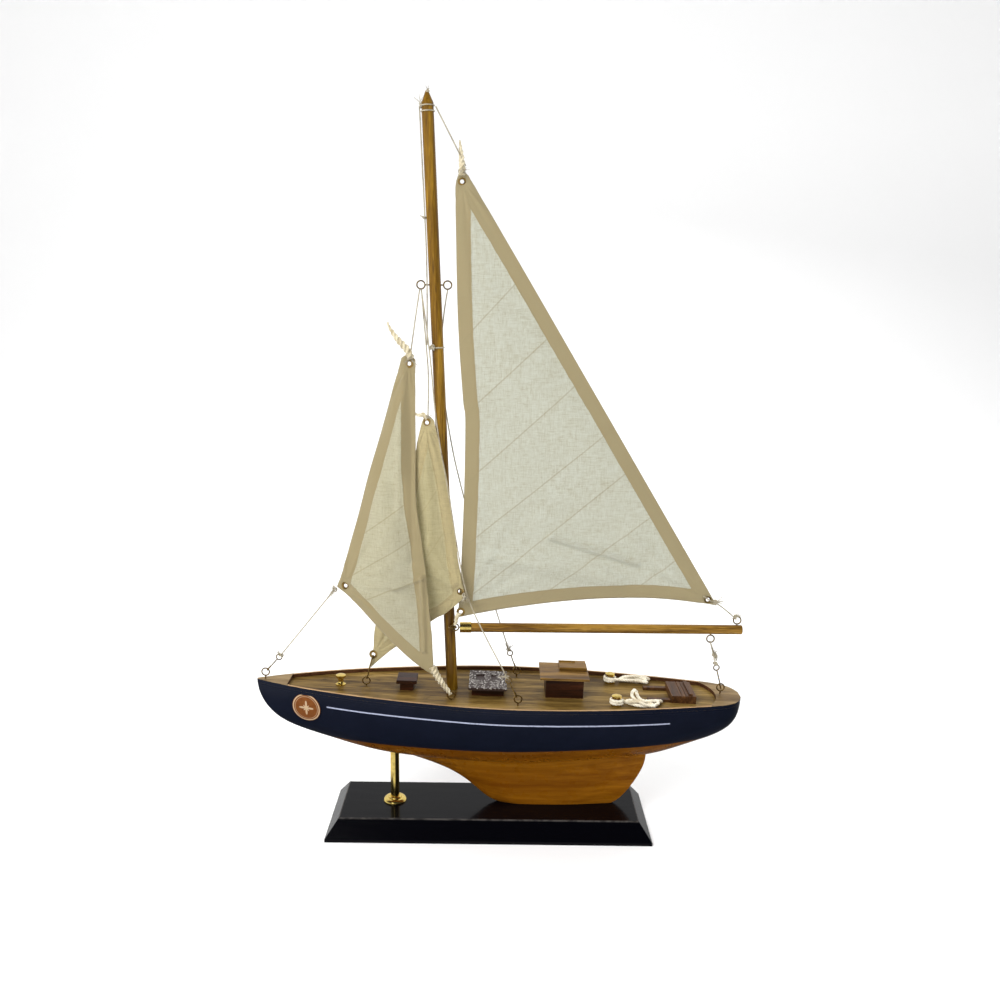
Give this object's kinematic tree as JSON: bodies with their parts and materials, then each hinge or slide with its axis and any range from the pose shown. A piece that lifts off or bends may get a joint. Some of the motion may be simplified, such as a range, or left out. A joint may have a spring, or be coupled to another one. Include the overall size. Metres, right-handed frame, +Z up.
{
  "type": "model sailing yacht on a display stand",
  "caption": "Decorative cutter-rigged yacht model: wooden hull with a fin keel screwed to a bevelled stand, cloth sails, cord rigging, wire hooks and a swinging boom.",
  "frame": {"origin": "centre of the stand's underside", "axes": "+X aft along the hull towards the boom's end, +Y to starboard, +Z up the mast"},
  "size_m": [0.3303, 0.0796, 0.4824],
  "materials": {
    "hull_gloss": "gloss navy over amber varnish",
    "varnished_wood": "varnished",
    "rosy_wood": "satin",
    "deck_wood": "satin",
    "dark_wood": "satin",
    "black_lacquer": "gloss lacquer",
    "brass": "polished",
    "steel": "zinc plated",
    "silver_paint": "speckled",
    "sailcloth": "plain weave",
    "cord": "twisted cotton"
  },
  "bodies": {
    "hull": {"aft_bollards": "brass", "bow_block": "rosy_wood", "bow_eye": "brass", "bow_hook": "brass", "bulwark_port": "rosy_wood", "bulwark_starboard": "rosy_wood", "cabin_roof": "rosy_wood", "cabin_walls": "dark_wood", "cockpit_hatch": "rosy_wood", "cockpit_rails": "rosy_wood", "deck": "deck_wood", "fore_bollard": "brass", "fore_hatch_body": "dark_wood", "fore_hatch_lid": "dark_wood", "gather_lashing": "cord", "gooseneck_mast_eye": "brass", "hatch_batten": "rosy_wood", "headsail_grommets": "brass", "hull_body": "hull_gloss", "jib": "sailcloth", "jib_halyard": "cord", "jib_sheet_eye": "brass", "keel": "hull_gloss", "keel_screws": "steel", "mast": "varnished_wood", "mast_upper_eyes": "brass", "masthead_fall": "cord", "masthead_lashing": "cord", "port_rope_hank": "cord", "port_shroud": "cord", "post_flange": "brass", "post_screw": "steel", "roof_hatch": "rosy_wood", "shroud_eyes": "brass", "shroud_hooks": "brass", "skylight_body": "dark_wood", "skylight_lid": "silver_paint", "stand_base": "black_lacquer", "stand_post": "brass", "starboard_rope_hank": "cord", "starboard_shroud": "cord", "staysail": "sailcloth", "staysail_halyard": "cord", "staysail_tack_eye": "brass", "staysail_tack_hook": "brass", "stern_block": "rosy_wood", "stern_eye": "brass", "tack_line": "cord"},
    "boom": {"boom": "varnished_wood", "boom_ferrule": "brass", "gooseneck_boom_eye": "brass", "boom_tail_eye": "brass", "boom_sheet_eye": "brass", "mainsail": "sailcloth", "mainsail_grommets": "brass", "main_halyard": "cord", "outhaul": "cord"},
    "mainsheet": {"mainsheet_hook": "brass", "mainsheet_line": "cord"}
  },
  "joints": [
    {"name": "boom_swing", "type": "hinge", "parent": "hull", "child": "boom", "pos_m": [-0.02485, -0.0065, 0.1427], "axis": [-0.0384, 0.0196, 0.9991], "range_deg": [-3.5, 3.5], "stiffness_Nm_per_rad": 0.05},
    {"name": "sheet_swing", "type": "hinge", "parent": "boom", "child": "mainsheet", "pos_m": [0.14887, -0.0001, 0.13204], "axis": [1, 0, 0], "range_deg": [-21, 21]}
  ],
  "couplings": [
    {"joint": "sheet_swing", "follows": "boom_swing", "ratio": -5.7}
  ]
}
